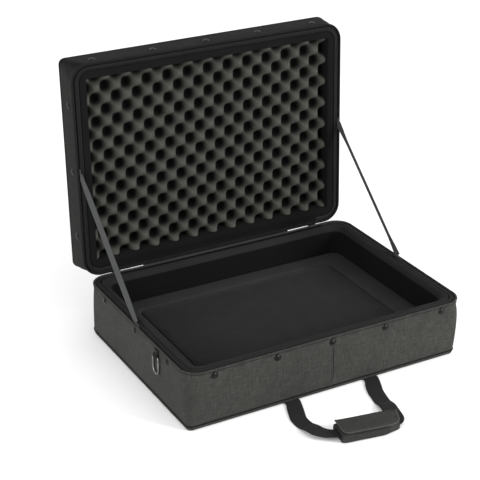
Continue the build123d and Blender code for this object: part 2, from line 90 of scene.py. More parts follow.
# Plan radii of the covers' corners at their closed ends: front right, back right, back left, front left
BASE_CORNERS, LID_CORNERS = mm(10, 20, 30, 11), mm(20, 26, 12, 16)
LEAN, SAG = mm(20, 1.2)  # how far the base's front right corner leans in and its back rim sinks
HINGE = Vector(joint("lid_hinge")["pos_m"])
OPEN = radians(joint("lid_hinge")["range_deg"][1])
LID_PLACE = (Matrix.Translation(HINGE) @ Matrix.Rotation(-OPEN, 4, "X") @ Matrix.Translation(-HINGE)
             @ Matrix.Translation((0, HALF_D, BASE_H + RIM_GAP)) @ Matrix.Rotation(pi, 4, "X")
             @ Matrix.Translation((0, HALF_D, 0)))


# ---------------- material helpers
def grey(level, warmth=0.0):
    """A grey, warm by a share, or tinted by three factors."""
    tint = warmth if isinstance(warmth, tuple) else (1 + warmth, 1.0, 1 - warmth)
    return (*(level * t for t in tint), 1.0)


class Nodes:
    """A material's node tree with short calls for the nodes used here."""

    def __init__(self, name, level=1.0, warmth=0.0):
        self.material = bpy.data.materials.new(name)
        self.material.use_nodes = True
        self.tree = self.material.node_tree
        self.shader = self.tree.nodes["Principled BSDF"]
        self.level, self.warmth = level, warmth

    def grey(self, share):
        """A share of the material's own grey."""
        return grey(self.level * share, self.warmth)

    def feed(self, value, socket):
        if hasattr(value, "is_output"):
            self.tree.links.new(value, socket)
        else:
            socket.default_value = value

    def node(self, kind, inputs=None, **settings):
        made = self.tree.nodes.new("ShaderNode" + kind)
        for key, value in settings.items():
            setattr(made, key, value)
        for key, value in (inputs or {}).items():
            self.feed(value, made.inputs[key])
        return made

    def math(self, operation, a, b=0.0, c=0.0):
        return self.node("Math", {0: a, 1: b, 2: c}, operation=operation).outputs[0]

    def line(self, value, slope, start=0.0):
        return self.math("MULTIPLY_ADD", value, slope, start)

    def mix(self, factor, a, b):
        return self.node("Mix", {0: factor, 6: a, 7: b}, data_type="RGBA").outputs[2]

    def over(self, tone, where, strength, share):
        """A tone with a share of the material's grey laid over it."""
        return self.mix(self.math("MULTIPLY", where, strength), tone, self.grey(share))

    def ramp(self, value, low, high):
        inputs = {0: value, 1: low, 2: high, 3: 0.0, 4: 1.0}
        return self.node("MapRange", inputs, interpolation_type="SMOOTHSTEP").outputs[0]

    def ridges(self, value):
        """Height of a row of round ridges, one to each unit."""
        return self.math("ABSOLUTE", self.math("SINE", self.math("MULTIPLY", value, pi)))

    def place(self, kind="Object"):
        return self.node("TexCoord").outputs[kind]

    def uv(self):
        return self.node("SeparateXYZ", {0: self.place("UV")}).outputs[:2]

    def noise(self, scale, detail=3.0, rough=0.55, place=None):
        inputs = {"Scale": scale, "Detail": detail, "Roughness": rough}
        inputs["Vector"] = self.place() if place is None else place
        return self.node("TexNoise", inputs).outputs["Fac"]

    def streaks(self, across, along):
        """Noise drawn out along the threads of a cloth."""
        u, v = self.uv()
        drawn = {0: self.math("MULTIPLY", u, across), 1: self.math("MULTIPLY", v, along)}
        return self.noise(0.5, 2.0, 0.5, self.node("CombineXYZ", drawn).outputs[0])

    def cells(self, scale):
        return self.node("TexVoronoi", {"Scale": scale, "Vector": self.place()}).outputs["Distance"]

    def stored(self, name):
        """Number stored for each vertex by store()."""
        return self.node("Attribute", attribute_name=name).outputs["Fac"]

    def finish(self, height=None, depth=0.0, **inputs):
        """Gives the shader its inputs and its bump, and returns the material."""
        if height is not None:
            bump = self.node("Bump", {"Strength": 1.0, "Distance": depth, "Height": height})
            inputs["Normal"] = bump.outputs[0]
        for key, value in inputs.items():
            self.feed(value, self.shader.inputs[key.replace("_", " ")])
        return self.material


def plain_weave(m, thread):
    """Height of a plain weave in UV metres: warp threads over and weft threads over, in turn."""
    across, along = (m.math("DIVIDE", way, thread) for way in m.uv())
    cell = m.math("ADD", m.math("FLOOR", across), m.math("FLOOR", along))
    over = m.math("FLOORED_MODULO", cell, 2.0)
    return m.node("Mix", {0: over, 2: m.ridges(across), 3: m.ridges(along)}, data_type="FLOAT").outputs[0]


def woven(name, level, warmth=0.0, thread=1.1 * MM, depth=0.25 * MM, shine=0.75, mottle=0.25, painted_shade=None):
    """Woven nylon: plain weave, uneven yarns, broad dull and shiny patches, scuffed high spots."""
    m = Nodes(name, level, warmth)
    weave = plain_weave(m, thread)
    patches = m.noise(9.0, 4.0)
    shade = m.mix(m.ramp(patches, 0.3, 0.7), m.grey(1 - mottle), m.grey(1 + mottle))
    tone = m.mix(0.55, shade, m.mix(weave, m.grey(0.45), m.grey(1.25)))
    for stretch in ((90.0, 900.0), (900.0, 90.0)):
        tone = m.over(tone, m.ramp(m.streaks(*stretch), 0.35, 0.65), 0.45, 0.35)
    lint = m.ramp(m.noise(160.0, 5.0, 0.7), 0.66, 0.74)
    tone = m.over(tone, lint, 0.18, 2.6)
    # Painted shade: a share stored for each vertex darkens the cloth towards a near-black grey.
    if painted_shade:
        tone = m.mix(m.stored("painted_shade"), tone, grey(painted_shade))
    rough = m.line(patches, 0.25, shine)
    rough = m.math("SUBTRACT", rough, m.math("MULTIPLY", weave, 0.12))
    yarns = m.line(m.noise(420.0, 2.0), 0.5, weave)
    return m.finish(yarns, depth, Base_Color=tone, Roughness=rough, Specular_IOR_Level=0.07,
                    Sheen_Weight=0.02, Sheen_Roughness=0.5)


def twill(name, level, warmth=0.0, shine=0.75):
    """Fine woven cloth of piping and bindings."""
    return woven(name, level, warmth, thread=0.8 * MM, depth=0.15 * MM, shine=shine)


def webbing(name, level, warmth=0.0, rib=1.7 * MM, depth=0.3 * MM):
    """Narrow webbing: ribs along the strap crossed by a fine herringbone."""
    m = Nodes(name, level, warmth)
    u, v = m.uv()
    column = m.math("DIVIDE", v, rib)
    lean = m.line(m.math("FLOORED_MODULO", m.math("FLOOR", column), 2.0), 2.0, -1.0)
    slant = m.line(m.math("FRACT", column), lean, m.math("DIVIDE", u, rib * 0.8))
    height = m.line(m.ridges(slant), 0.45, m.ridges(column))
    wear = m.noise(60.0, 4.0)
    tone = m.mix(m.ramp(height, 0.2, 1.3), m.grey(0.45), m.grey(1.25))
    return m.finish(height, depth, Base_Color=m.over(tone, wear, 0.35, 1.5),
                    Roughness=m.line(wear, 0.2, 0.65), Specular_IOR_Level=0.07,
                    Sheen_Weight=0.02)


def brushed_lining(name, level):
    """Knitted lining over foam: short fibres, soft lint and faint pressed areas."""
    m = Nodes(name, level)
    fibres = m.noise(900.0, 4.0, 0.7)
    tone = m.mix(m.ramp(m.noise(7.0), 0.3, 0.7), m.grey(0.82), m.grey(1.18))
    tone = m.over(tone, fibres, 0.5, 1.5)
    lint = m.ramp(m.noise(240.0, 3.0, 0.8), 0.64, 0.72)
    return m.finish(fibres, 0.4 * MM, Base_Color=m.over(tone, lint, 0.2, 2.0),
                    Roughness=m.line(fibres, 0.2, 0.8), Specular_IOR_Level=0.03,
                    Sheen_Weight=0.01, Sheen_Roughness=0.6)


def open_foam(name):
    """Open-cell foam: fine cells, and a stored depth that paints shade into the pits."""
    m = Nodes(name)
    cells = m.cells(650.0)
    high = m.mix(m.noise(14.0, 4.0), (0.056, 0.056, 0.049, 1), (0.082, 0.081, 0.071, 1))
    tone = m.mix(m.ramp(m.stored("depth"), 0.08, 0.72), high, grey(0.003))
    return m.finish(m.line(m.noise(2400.0, 2.0), 0.5, cells), 0.5 * MM,
                    Base_Color=m.over(tone, cells, 0.5, 0.01), Roughness=1.0, Specular_IOR_Level=0.01)


def moulded(name, level, shine, grain=1800.0, depth=0.05 * MM, gloss=0.2):
    """Moulded plastic with a fine grain and rubbed high spots."""
    m = Nodes(name, level)
    rub = m.noise(90.0, 4.0)
    return m.finish(m.noise(grain), depth, Base_Color=m.mix(m.ramp(rub, 0.45, 0.7), m.grey(1), m.grey(1.7)),
                    Roughness=m.line(rub, 0.25, shine), Specular_IOR_Level=gloss)


def metal(name, level, shine):
    """Plated steel with fine scratches and a little tarnish."""
    m = Nodes(name)
    scratch = m.noise(700.0, 6.0, 0.8)
    stain = m.ramp(m.noise(120.0), 0.4, 0.75)
    return m.finish(scratch, 0.02 * MM, Base_Color=m.mix(stain, grey(level), grey(level * 0.6, 0.03)),
                    Roughness=m.line(scratch, 0.25, shine), Metallic=1.0)


def loop_pile(name, level):
    """Looped pile: tiny tangled loops in rows."""
    m = Nodes(name, level)
    cells = m.cells(480.0)
    tone = m.mix(m.ramp(m.noise(22.0, 4.0), 0.35, 0.7), m.mix(cells, m.grey(1.8), m.grey(0.5)), m.grey(1.4))
    return m.finish(m.math("SUBTRACT", 1.0, cells), 0.7 * MM, Base_Color=tone, Roughness=0.95,
                    Specular_IOR_Level=0.05, Sheen_Weight=0.05, Sheen_Roughness=0.5)


MAT = {
    "cover": woven("cover_nylon", 0.051, (0.96, 1.0, 0.89), depth=0.35 * MM, mottle=0.32),
    # Painted shade: the lid's cloth is a darker copy of the base's cover, for the shade on the open lid's
    # walls.
    "cover_lid_shaded": woven("lid_nylon_shaded", 0.016, 0.03, painted_shade=0.003),
    "grip": woven("grip_nylon", 0.038, (0.97, 1.0, 0.92), thread=0.9 * MM),
    "piping": twill("piping_twill", 0.036, (0.96, 1.0, 0.9), shine=0.5),
    "lid_piping": twill("lid_piping_twill", 0.010),
    "flap_edge": twill("flap_edge_twill", 0.065, (0.97, 1.0, 0.94)),
    # Painted shade: near black, for the shade in the gap under each rim's piping and in the front seam's
    # groove.
    "groove": moulded("painted_groove_shade", 0.002, 0.8),
    "dark_strap": webbing("tab_webbing", 0.007),
    "binding": twill("binding_twill", 0.010),
    "tape": webbing("zip_tape", 0.007, rib=1.0 * MM, depth=0.12 * MM),
    "coil": moulded("zip_coil", 0.008, 0.4),
    # One knit at four levels. The crown's is lighter as painted light on the rim's top band, and the wall's
    # darker as painted shade inside the case.
    **{key: brushed_lining(key + "_knit", level)
       for key, level in (("lining", 0.0025), ("border", 0.0045), ("wall", 0.004), ("crown", 0.012))},
    "floor": brushed_lining("floor_lining", 0.018),
    "foam": open_foam("egg_foam"),
    "strap": webbing("strap_webbing", 0.012),
    "stay": webbing("stay_webbing", 0.05, -0.02, rib=1.6 * MM),
    "cap": moulded("cap_plastic", 0.003, 0.2, gloss=0.14),
    "thread": moulded("thread", 0.05, 0.5, depth=0.1 * MM),
    "dark_thread": moulded("dark_thread", 0.012, 0.5, depth=0.1 * MM),
    "steel": metal("ring_steel", 0.2, 0.18),
    "slider": metal("slider_metal", 0.12, 0.3),
    "panel": moulded("bottom_panel", 0.012, 0.6, grain=600.0, depth=0.3 * MM),
    "board": moulded("board_paint", 0.012, 0.5, grain=300.0),
    "pile": loop_pile("board_pile", 0.007),
    "hook": loop_pile("hook_tape", 0.012),
}


# ---------------- mesh helpers
def make(name, verts, faces, material, body=BASE, slot=None, hides=(), uvs=None, place=Matrix(), sharp=40.0):
    """A smooth-shaded piece from mesh data. uvs holds one pair in metres for every vertex."""
    mesh = bpy.data.meshes.new(name)
    mesh.from_pydata([tuple(v) for v in verts], [], faces)
    if uvs:
        layer = mesh.uv_layers.new(name="metres")
        for corner in mesh.loops:
            layer.data[corner.index].uv = uvs[corner.vertex_index]
    mesh.transform(place)
    mesh.shade_smooth()
    mesh.set_sharp_from_angle(angle=radians(sharp))
    mesh.materials.append(MAT[material])
    piece = bpy.data.objects.new(name, mesh)
    bpy.context.scene.collection.objects.link(piece)
    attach(piece, body)
    if hides:
        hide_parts(*hides)
    return piece


def store(piece, key, values):
    """Keeps one number for each vertex, for the material to read."""
    piece.data.attributes.new(key, "FLOAT", "POINT").data.foreach_set("value", values)


def release(piece):
    """Unparents a piece, so that no one body holds it."""
    piece.parent = None


def grid_faces(rows, columns, closed_rows=False, closed_columns=False):
    """Quads of a grid of vertices stored row by row."""
    quads = []
    for i in range(rows if closed_rows else rows - 1):
        for j in range(columns if closed_columns else columns - 1):
            row, after, beside = i * columns, (i + 1) % rows * columns, (j + 1) % columns
            quads.append((row + j, row + beside, after + beside, after + j))
    return quads


def loft_faces(rings, size, flipped=False):
    """Sides and both ends of a closed loft."""
    faces = grid_faces(rings, size, False, True)
    faces += [tuple(range((rings - 1) * size, rings * size)), tuple(range(size))[::-1]]
    return flip(faces) if flipped else faces


def grid_border(rows, columns):
    """Vertices round the edge of a grid, from its first one."""
    last = (rows - 1) * columns
    return ([*range(columns - 1)] + [k * columns + columns - 1 for k in range(rows - 1)]
            + [last + n for n in range(columns - 1, 0, -1)] + [k * columns for k in range(rows - 1, 0, -1)])


def joined(a, b):
    """Quads between two closed loops of vertices."""
    return [(a[n - 1], a[n], b[n], b[n - 1]) for n in range(len(a))]


def lengths(points):
    """How far a line has run at each of its points."""
    run = [0.0]
    for a, b in zip(points, points[1:]):
        run.append(run[-1] + dist(a, b))
    return run


def between(a, b, steps):
    """Numbers from one to another in even steps, with both ends."""
    return [a + (b - a) * k / steps for k in range(steps + 1)]


def flip(faces):
    return [face[::-1] for face in faces]


def clamp(share):
    return min(max(share, 0.0), 1.0)


def smooth(share):
    share = clamp(share)
    return share * share * (3 - 2 * share)


def ripple(x, y, z, size, seed=0.0):
    """Smooth unevenness between -1 and 1 with the given wavelength."""
    return noise.noise(Vector((x / size + seed, y / size, z / size)))


def uneven(height, size, seed):
    """A shift, for swept, that makes a lining a little uneven."""
    return lambda x, y, z: (0.0, height * ripple(x, y, z, size, seed))


def arc(centre, radius, start, end, steps):
    """Points of an arc in a profile plane, angles in degrees."""
    angles = [radians(start + (end - start) * k / steps) for k in range(steps + 1)]
    return [(centre[0] + radius * cos(a), centre[1] + radius * sin(a)) for a in angles]


# Places round a rounded rectangle, starting at the front left: (side or corner number, kind, share)
STATIONS = []
for quarter in range(4):
    for kind, steps in (("side", (48, 36)[quarter % 2]), ("corner", 14)):
        STATIONS += [(quarter, kind, k / steps) for k in range(steps)]


def ring_point(station, half_w, half_d, radius):
    """Point and outward direction on a rounded rectangle.

    Quarter 0 is the front side, then right, back, left. radius is one length, or four: front right,
    back right, back left, front left."""
    quarter, kind, share = station
    radii = radius if isinstance(radius, tuple) else (radius,) * 4
    signs = ((1, -1), (1, 1), (-1, 1), (-1, -1))
    centres = [(sx * (half_w - r), sy * (half_d - r)) for r, (sx, sy) in zip(radii, signs)]
    turn = (quarter - 1 + (share if kind == "corner" else 0.0)) * pi / 2
    way = (cos(turn), sin(turn))
    end = [centres[quarter][i] + radii[quarter] * way[i] for i in (0, 1)]
    if kind == "corner":
        return (*end, *way)
    start = [centres[quarter - 1][i] + radii[quarter - 1] * way[i] for i in (0, 1)]
    return (*(a + (b - a) * share for a, b in zip(start, end)), *way)


def inset(distance, z, least=LEAST_R):
    """One ring of a swept profile: the case outline moved inwards, at a height."""
    return (HALF_W - distance, HALF_D - distance, max(CORNER_R - distance, least), z)


def cover_ring(distance, z, corners, low, high):
    """One ring of a cover, whose corners are round at the rim and tighter towards its closed end."""
    far = clamp((high - BAND_H - z) / (high - BAND_H - low)) ** 0.6
    radii = tuple(max(CORNER_R + (r - CORNER_R) * far - distance, LEAST_R) for r in corners)
    return (HALF_W - distance, HALF_D - distance, radii, z)


def crowned(a, b, parts, z, rise):
    """Rings from one ring to another, a little higher between them."""
    shares = [k / parts for k in range(1, parts)]
    return [(*(p + (q - p) * share for p, q in zip(a[:3], b)), z + rise * sin(pi * share))
            for share in shares]


def soft_edge(half_w, half_d, radius, top, soft, steps):
    """Rings of an edge that rounds down into an opening."""
    return [(half_w + soft - d, half_d + soft - d, radius + soft - d, z)
            for d, z in arc((0.0, top - soft), soft, 90, 0, steps)]


def sunk(*pieces):
    """Lets the middle of the base's back rim sink a little, as the soft wall does in the photograph."""
    for vertex in (v for piece in pieces for v in piece.data.vertices):
        x, y, z = vertex.co
        wide = smooth((270 * MM - abs(x)) / (100 * MM))
        near = smooth((y - HALF_D + 50 * MM) / (30 * MM))
        vertex.co.z -= SAG * wide * near * smooth((z - BASE_H + 30 * MM) / (20 * MM))


def leaned(*pieces):
    """Draws the base's front right corner in towards the floor, as in the photograph."""
    for vertex in (v for piece in pieces for v in piece.data.vertices):
        x, y, z = vertex.co
        low = clamp(1 - z / RIM_Z) ** 1.5
        vertex.co.x -= LEAN * low * smooth((x - 200 * MM) / (120 * MM)) * smooth((-y - 60 * MM) / (170 * MM))


def swept(name, profile, material, closed=False, cap_end=False, shift=None, least=LEAST_R, spots=STATIONS,
          open_ring=False, **kept):
    """A profile carried round the case. Profile points are (inset, height) or whole rings.

    shift gives how far a point moves outwards and up."""
    rings = [inset(*p, least) if len(p) == 2 else p for p in profile]
    verts = []
    for *ring, z in rings:
        for spot in spots:
            x, y, nx, ny = ring_point(spot, *ring)
            out, up = shift(x, y, z) if shift else (0.0, 0.0)
            verts.append((x + nx * out, y + ny * out, z + up))
    along = lengths([ring_point(spot, HALF_W, HALF_D, CORNER_R)[:2] for spot in spots])
    uvs = [(u, v) for v in lengths([(ring[0], ring[3]) for ring in rings]) for u in along]
    faces = grid_faces(len(rings), len(spots), closed, not open_ring)
    if cap_end:
        faces.append(tuple(range(len(verts) - len(spots), len(verts))))
    return make(name, verts, faces, material, uvs=uvs, **kept)


def directions(points, closed=False):
    """Direction of a path at each of its points."""
    line = [Vector(p) for p in points]
    first, last = (line[-1], line[0]) if closed else (line[0], line[-1])
    return [(b - a).normalized() for a, b in zip([first] + line, line[1:] + [last])]


def bar(name, points, sides, section, material, closed=False, sheared=False, **kept):
    """A section carried along a path. sides is the section's first axis, or a list with one for each point.

    section holds (across, up) pairs, or is a function of the share of the path's length."""
    count = len(points)
    verts, uvs = [], []
    for k, (way, run) in enumerate(zip(directions(points, closed), lengths(points))):
        side = Vector(sides[k] if isinstance(sides, list) else sides)
        side = (side - way * (0.0 if sheared else side.dot(way))).normalized()
        up = side.cross(way).normalized()
        shape = section(k / (count - 1)) if callable(section) else section
        verts += [Vector(points[k]) + side * a + up * b for a, b in shape]
        uvs += [(run, girth) for girth in lengths(shape)]
    faces = grid_faces(count, len(shape), True, True) if closed else loft_faces(count, len(shape))
    return make(name, verts, faces, material, uvs=uvs, **kept)


def round_section(radius, sides):
    return [(radius * cos(2 * pi * k / sides), radius * sin(2 * pi * k / sides)) for k in range(sides)]


def strap_section(width, thick, crown=0.0):
    """Section of a strap with rolled edges, wide along its first axis."""
    half, r = width / 2, thick / 2
    top = [(half - r - (2 * half - 2 * r) * k / 8, r + crown * sin(pi * k / 8)) for k in range(9)]
    return (top + arc((-half + r, 0.0), r, 135, 225, 2) + [(-x, -y) for x, y in top]
            + arc((half - r, 0.0), r, -45, 45, 2))


def upright(section):
    """The same section, wide along its second axis."""
    return [(b, a) for a, b in section]


def evenly(points, pitch, closed=False, margin=0.0):
    """Spots along a path at an even pitch: (position, direction)."""
    line = [Vector(p) for p in points] + ([Vector(points[0])] if closed else [])
    spans = [(b - a).length for a, b in zip(line, line[1:])]
    total = sum(spans) - 2 * margin
    count = max(1, int(total / pitch))
    spots, k, passed = [], 0, 0.0
    for n in range(count):
        target = margin + (n + 0.5) * total / count
        while passed + spans[k] < target and k < len(spans) - 1:
            passed += spans[k]
            k += 1
        a, b = line[k], line[k + 1]
        share = (target - passed) / spans[k] if spans[k] else 0.0
        spots.append((a.lerp(b, share), (b - a).normalized()))
    return spots


def repeated(name, spots, unit, material, **kept):
    """Copies of a small unit at spots: (position, direction, outward).

    unit is (verts, faces), with its direction along X and its outward side along Z."""
    verts, faces = [], []
    for position, way, out in spots:
        side = out.cross(way).normalized()
        out = way.cross(side)
        first = len(verts)
        verts += [position + way * x + side * y + out * z for x, y, z in unit[0]]
        faces += [tuple(first + i for i in face) for face in unit[1]]
    return make(name, verts, faces, material, **kept)


def stitch_unit(length=2.9 * MM, radius=0.38 * MM):
    """One stitch: a short thread that dips into the cloth at both ends."""
    rings = [(-0.5, 0.35, -0.6), (-0.3, 1.0, 0.55), (0.3, 1.0, 0.55), (0.5, 0.35, -0.6)]
    verts = [(share * length, radius * size * cos(k * pi / 3), radius * (lift + size * sin(k * pi / 3)))
             for share, size, lift in rings for k in range(6)]
    return verts, grid_faces(4, 6, False, True)


def stitches(name, points, out, body=BASE, closed=False, pitch=4.4 * MM, material="thread", margin=2 * MM,
             place=Matrix(), unit=None, **kept):
    """A row of stitches along a path. out gives the outward direction at a spot."""
    spots = [(p, way, Vector(out(p)) if callable(out) else Vector(out))
             for p, way in evenly([place @ Vector(p) for p in points], pitch, closed, margin)]
    return repeated(name, spots, unit or stitch_unit(), material, body=body, **kept)


def outline_path(distance, z, spots=STATIONS):
    """The case outline moved inwards, at a height, as a path."""
    return [(*ring_point(s, *inset(distance, z)[:3])[:2], z) for s in spots]


def outward(point):
    """Outward direction of the case's wall nearest to a point."""
    cx = max(abs(point[0]) - (HALF_W - CORNER_R), 0.0)
    cy = max(abs(point[1]) - (HALF_D - CORNER_R), 0.0)
    if hypot(cx, cy) < 1e-6:
        return (1.0, 0.0, 0.0)
    return Vector((cx if point[0] > 0 else -cx, cy if point[1] > 0 else -cy, 0.0)).normalized()


# ---------------- base
RIM_GROOVE = [mm(6, 0), mm(3.2, 0), mm(1.2, 0.3), mm(1, 2.4), mm(0.3, 3.8), mm(0, 5.5)]  # in and down


def cover_profile(low, high, corners, steps):
    """Rings of a cover: the pinched groove under the piping, the wall and the edge at the closed end."""
    line = [(inwards, high - drop) for inwards, drop in RIM_GROOVE]
    line += [(0.0, z) for z in between(high - 8 * MM, low, steps)]
    line += arc((EDGE_R, low), EDGE_R, 180, 270, 8)[1:]
    return [cover_ring(distance, z, corners, low, high) for distance, z in line]


def fullness(x, y, z, low, high, swell, seed):
    """How far a cover's wall stands out at a height, a little uneven."""
    share = clamp((z - low) / (high - low))
    full = sin(pi * share) ** 0.7 * swell if 0 < share < 1 else 0.0
    return full * (1 + 0.5 * ripple(x, y, z * 1.6, 0.09, seed))


def base_wall(x, y, z):
    """Shift of a point on the base's wall, which is slightly full."""
    return fullness(x, y, z, LIP_Z + EDGE_R, RIM_Z - BAND_H, 1.1 * MM, 0.0), 0.0


def base_cover():
    """Nylon over the moulded tray, and the board under it."""
    low = LIP_Z + EDGE_R
    profile = cover_profile(low, RIM_Z, BASE_CORNERS, 22)
    profile += [cover_ring(d, z, BASE_CORNERS, low, RIM_Z)
                for d, z in ((11.6 * MM, LIP_Z), (11.8 * MM, PANEL_T))]
    cover = swept("base_cover", profile, "cover", cap_end=True, shift=base_wall, slot="cover_nylon",
                  hides=["base_shell"])
    sunk(cover)
    lo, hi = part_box("base_bottom_panel")
    rim = HALF_W - hi[0]
    board = [cover_ring(rim + d, z, BASE_CORNERS, low, RIM_Z)
             for d, z in ((0.0, hi[2]), (0.0, 0.5 * MM), (0.5 * MM, lo[2]), (60 * MM, lo[2]))]
    leaned(cover, swept("bottom_board", board, "panel", cap_end=True, slot="panel_board",
                        hides=["base_bottom_panel"]))


def base_lining():
    """Foam wall lining: a crowned band on top, a straight wall below. The band's knit is painted lighter as
    the light on top, and the wall's darker as the shade inside the case.
    """
    shelf_z, crown_r = BASE_H - SHELF_DROP, 15 * MM
    shelf = [(SHELF_IN, RIM_Z - 12 * MM), (SHELF_IN, shelf_z), (16 * MM, shelf_z)]
    crown = ([(15.2 * MM, shelf_z - 2 * MM)] + arc((19 * MM, BASE_H - 3 * MM), 3 * MM, 180, 95, 5)
             + arc((WALL_T - crown_r, BASE_H - crown_r), crown_r, 78, 12, 10))
    wall = ([crown[-1], (WALL_T, BASE_H - crown_r)]
            + [(WALL_T, BASE_H - crown_r - 2 * MM - k * 6 * MM) for k in range(10)])

    def shift(x, y, z):
        soft = 0.5 * MM * ripple(x, y, z * 2, 0.11, 3.0)
        return -soft if z < BASE_H - 4 * MM else 0.0, soft * 0.6

    kept = dict(least=INNER_R, slot="lining_knit")
    sunk(swept("lining_shelf", shelf, "lining", **kept),
         swept("base_crown", crown, "crown", shift=shift, hides=["base_liner"], **kept),
         swept("base_lining", wall, "wall", shift=shift, **kept))


def floor_pad():
    """Foam floor: a soft ledge round the recess for the board."""
    lo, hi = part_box("pedal_board")
    gap, soft, wall = 2 * MM, 8 * MM, WALL_T + 0.3 * MM
    recess = (hi[0] + gap, hi[1] + gap, 14 * MM)
    rings = [(HALF_W - wall - d, HALF_D - wall - d, INNER_R - d, LEDGE_Z - drop)
             for d, drop in (mm(0, 7), mm(0.2, 2.5), mm(1.5, 0.8), mm(4, 0))]
    rings += crowned(rings[-1], [size + soft for size in recess], 8, LEDGE_Z, 0.7 * MM)
    rings += soft_edge(*recess, LEDGE_Z, soft, 7) + [(*recess, lo[2] + 0.2 * MM)]
    swept("floor_pad", rings, "floor", cap_end=True, shift=uneven(0.4 * MM, 0.07, 5.0), slot="floor_foam",
          hides=["base_floor_pad"])


def rim_parts(prefix, body, top, place=Matrix()):
    """Piping round one rim, and the flange that holds it in the seam, near black as painted shade in the gap
    under the piping.
    """
    middle, half_w, half_h = mm(0.85, 2.3, 2.5)
    tube = [(middle + half_w * x, top - half_h + half_h * z) for x, z in round_section(1, 14)]
    flange = [(d, top - drop) for d, drop in (mm(3, 4.6), mm(-0.1, 5.4), mm(3, 6.8))]
    cloth = "lid_piping" if body == LID else "piping"
    kept = dict(body=body, place=place, slot="piping")
    pieces = [swept(prefix + "_piping_rim", tube, cloth, closed=True, hides=[prefix + "_rim_piping"],
                    shift=lambda x, y, z: (0.12 * MM * ripple(x, y, z, 0.012, 8.0), 0.0), **kept),
              swept(prefix + "_piping_flange_shade", flange, "groove", **kept)]
    if body == BASE:
        sunk(*pieces)


def tooth_unit():
    """One turn of the zip's coil, seen from above as a short rounded bar with a knob on the inner side."""
    outline = [(-0.9, 0.3), (-0.5, 0.75), (0.4, 0.85), (1.0, 1.25), (1.25, 0.7), (1.25, 0.25)]
    verts = [(y * 0.42 * MM, x * MM, z * MM) for x, z in outline for y in (-1, 1)]
    return verts, grid_faces(6, 2, True) + [tuple(range(0, 12, 2))[::-1], tuple(range(1, 12, 2))]


def zip_half(prefix, body, shelf, place=Matrix()):
    """One half of the zip, left out along the middle of the back, with its coil of teeth."""
    gap_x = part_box("zip_end_right")[1][0]
    start = (HALF_W - CORNER_R - gap_x) / (2 * (HALF_W - CORNER_R))
    order = [(2, "side", 1 - start), (2, "side", 1.0)]
    order += [s for s in STATIONS if s[:2] == (2, "corner") or s[0] == 3] + [s for s in STATIONS if s[0] < 2]
    order += [(2, "side", 0.0), (2, "side", start)]
    width, thick, tooth_pitch = mm(8.6, 1.2, 1.55)
    top, inner = shelf + thick, SHELF_IN + width
    band = [(SHELF_IN + 0.2 * MM, shelf), (SHELF_IN, shelf + thick * 0.5), (SHELF_IN + 0.4 * MM, top)]
    band += [(SHELF_IN + width * k / 6, top + 0.15 * MM * sin(pi * k / 6)) for k in range(1, 7)]
    band += [(inner + 0.1 * MM, shelf + thick * 0.5), (inner, shelf)]
    pieces = [swept(prefix + "_tape", band, "tape", closed=True, spots=order, open_ring=True, body=body,
                    place=place, slot="zip_tape", hides=[prefix + "_zip_tape"])]
    path = [place @ Vector(p) for p in outline_path(inner - 1.1 * MM, top, order)]
    up = place.to_3x3() @ Vector((0, 0, 1))
    teeth = [(p, way, up) for p, way in evenly(path, tooth_pitch)]
    pieces.append(repeated(prefix + "_coil", teeth, tooth_unit(), "coil", body=body, slot="zip_coil",
                           hides=[prefix + "_zip_coil"]))
    for distance in mm(2, 5.6):
        row = outline_path(SHELF_IN + distance, top + 0.1 * MM, order)
        pieces.append(stitches(prefix + "_tape_seam_%d" % round(distance / MM), row, up, body, place=place,
                               pitch=3.4 * MM, material="dark_thread", unit=stitch_unit(2.3 * MM, 0.28 * MM),
                               slot="zip_tape"))
    if body == BASE:
        sunk(*pieces)


def wall_bead(name, z, corners, low, high, shift=None, **kept):
    """Bound seam that stands out of a cover's wall."""
    tube = [cover_ring(-0.3 * MM + 1.2 * MM * a, z + 2 * MM * b, corners, low, high)
            for a, b in round_section(1, 12)]
    return swept(name, tube, "binding", closed=True, shift=shift, slot="piping", **kept)


def front_seam():
    """Lapped middle seam of the front panel, with a near-black strip beside it as painted shade in its
    groove, and its stitching.
    """
    lo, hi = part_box("front_seam_bead")
    top, low = hi[2], lo[2] + 1.5 * MM
    radius, front = 20 * MM, -HALF_D - 1.0 * MM
    path = [(0.0, front, z) for z in between(top, low + radius, 12)]
    turn = arc((-radius, low + radius), radius, 0, -90, 10)[1:]
    path += [(x, front + 0.07 * MM * k, z) for k, (x, z) in enumerate(turn)]
    bar("front_seam", path, (0, -1, 0), upright(strap_section(3.4 * MM, 1.5 * MM)), "cover",
        slot="cover_nylon", hides=["front_seam_bead"])
    turned = [max(k - 12, 0) / 10 for k in range(len(path))]
    beside = [(x + 2.6 * MM * (1 - t), y + 0.3 * MM, z - 0.2 * MM * (t > 0))
              for (x, y, z), t in zip(path, turned)]
    bar("front_seam_groove_shade", beside, (0, -1, 0), upright(strap_section(2.4 * MM, 1.0 * MM)), "groove",
        slot="cover_nylon")
    row = [(x - 4.2 * MM * (1 - 0.8 * t), y - 0.15 * MM, z) for (x, y, z), t in zip(path[:18], turned)]
    stitches("front_seam_stitch", row, (0, -1, 0), slot="cover_nylon")


def cap_unit():
    """Domed cap with a rolled rim, standing on Z."""
    profile = [(1.0, 0.0), (1.0, 0.22), (0.95, 0.38), (0.86, 0.42), (0.8, 0.36), (0.74, 0.42), (0.6, 0.72),
               (0.4, 0.92), (0.2, 1.0)]
    sides = 28
    verts = [(x, y, CAP_H * h) for r, h in profile for x, y in round_section(CAP_R * r, sides)]
    top = tuple(range(len(verts) - sides, len(verts)))
    return verts, grid_faces(len(profile), sides, False, True) + [top]


